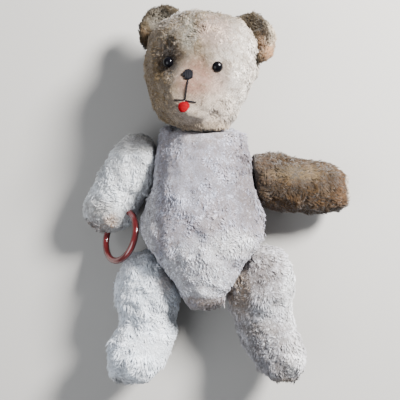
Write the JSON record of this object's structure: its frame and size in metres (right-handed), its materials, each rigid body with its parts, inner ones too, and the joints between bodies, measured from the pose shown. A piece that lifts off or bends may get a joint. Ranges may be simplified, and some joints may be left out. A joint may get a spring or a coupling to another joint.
{
  "type": "jointed plush teddy bear",
  "caption": "Plush teddy bear lying on its back, with a turning head, arms and legs and a ring threaded through one paw.",
  "frame": {"origin": "on the flat of the torso's back, near its middle, where the bear lies on a surface", "axes": "+Y towards the head, +Z out of the bear's front, +X towards the bear's left"},
  "size_m": [0.2465, 0.3442, 0.1132],
  "materials": {
    "plush": "short worn pile",
    "stuffing": "packed wood wool",
    "fibreboard": "pressed fibre",
    "steel": "dull",
    "black_glass": "polished",
    "black_thread": "stitched thread",
    "red_felt": "felt",
    "ring_plastic": "glossy"
  },
  "bodies": {
    "torso": {"torso_cover": "plush", "torso_stuffing": "stuffing", "neck_torso_disc": "fibreboard", "neck_torso_washer": "steel", "neck_pin": "steel", "left_shoulder_torso_disc": "fibreboard", "left_shoulder_torso_washer": "steel", "left_shoulder_pin": "steel", "right_shoulder_torso_disc": "fibreboard", "right_shoulder_torso_washer": "steel", "right_shoulder_pin": "steel", "left_hip_torso_disc": "fibreboard", "left_hip_torso_washer": "steel", "left_hip_pin": "steel", "right_hip_torso_disc": "fibreboard", "right_hip_torso_washer": "steel", "right_hip_pin": "steel"},
    "head": {"head_cover": "plush", "head_stuffing": "stuffing", "left_ear": "plush", "right_ear": "plush", "left_eye": "black_glass", "right_eye": "black_glass", "nose": "black_thread", "philtrum_thread": "black_thread", "mouth_thread": "black_thread", "tongue": "red_felt", "neck_limb_disc": "fibreboard", "neck_limb_washer": "steel"},
    "left_arm": {"left_arm_cover": "plush", "left_arm_stuffing": "stuffing", "left_shoulder_limb_disc": "fibreboard", "left_shoulder_limb_washer": "steel"},
    "right_arm": {"right_arm_cover": "plush", "right_arm_stuffing": "stuffing", "right_shoulder_limb_disc": "fibreboard", "right_shoulder_limb_washer": "steel"},
    "left_leg": {"left_leg_cover": "plush", "left_leg_stuffing": "stuffing", "left_hip_limb_disc": "fibreboard", "left_hip_limb_washer": "steel"},
    "right_leg": {"right_leg_cover": "plush", "right_leg_stuffing": "stuffing", "right_hip_limb_disc": "fibreboard", "right_hip_limb_washer": "steel"},
    "ring": {"grip_ring": "ring_plastic"}
  },
  "joints": [
    {"name": "neck_turn", "type": "hinge", "parent": "torso", "child": "head", "pos_m": [0.003, 0.0665, 0.042], "axis": [0.0696, 0.9758, 0.2074], "continuous": true},
    {"name": "left_shoulder_turn", "type": "hinge", "parent": "torso", "child": "left_arm", "pos_m": [0.0475, 0.024, 0.04], "axis": [0.9877, 0.1564, 0], "continuous": true},
    {"name": "right_shoulder_turn", "type": "hinge", "parent": "torso", "child": "right_arm", "pos_m": [-0.0404, 0.0345, 0.0395], "axis": [-0.9994, 0.0349, 0], "range_deg": [-2, 140]},
    {"name": "left_hip_turn", "type": "hinge", "parent": "torso", "child": "left_leg", "pos_m": [0.037, -0.061, 0.0365], "axis": [-0.829, 0.5592, 0], "range_deg": [-12, 90]},
    {"name": "right_hip_turn", "type": "hinge", "parent": "torso", "child": "right_leg", "pos_m": [-0.031, -0.062, 0.0365], "axis": [-0.829, -0.5592, 0], "range_deg": [-12, 50]},
    {"name": "ring_turn", "type": "hinge", "parent": "right_arm", "child": "ring", "pos_m": [-0.0727, -0.0329, 0.04], "axis": [-0.7446, 0.2485, 0.6195], "continuous": true}
  ]
}
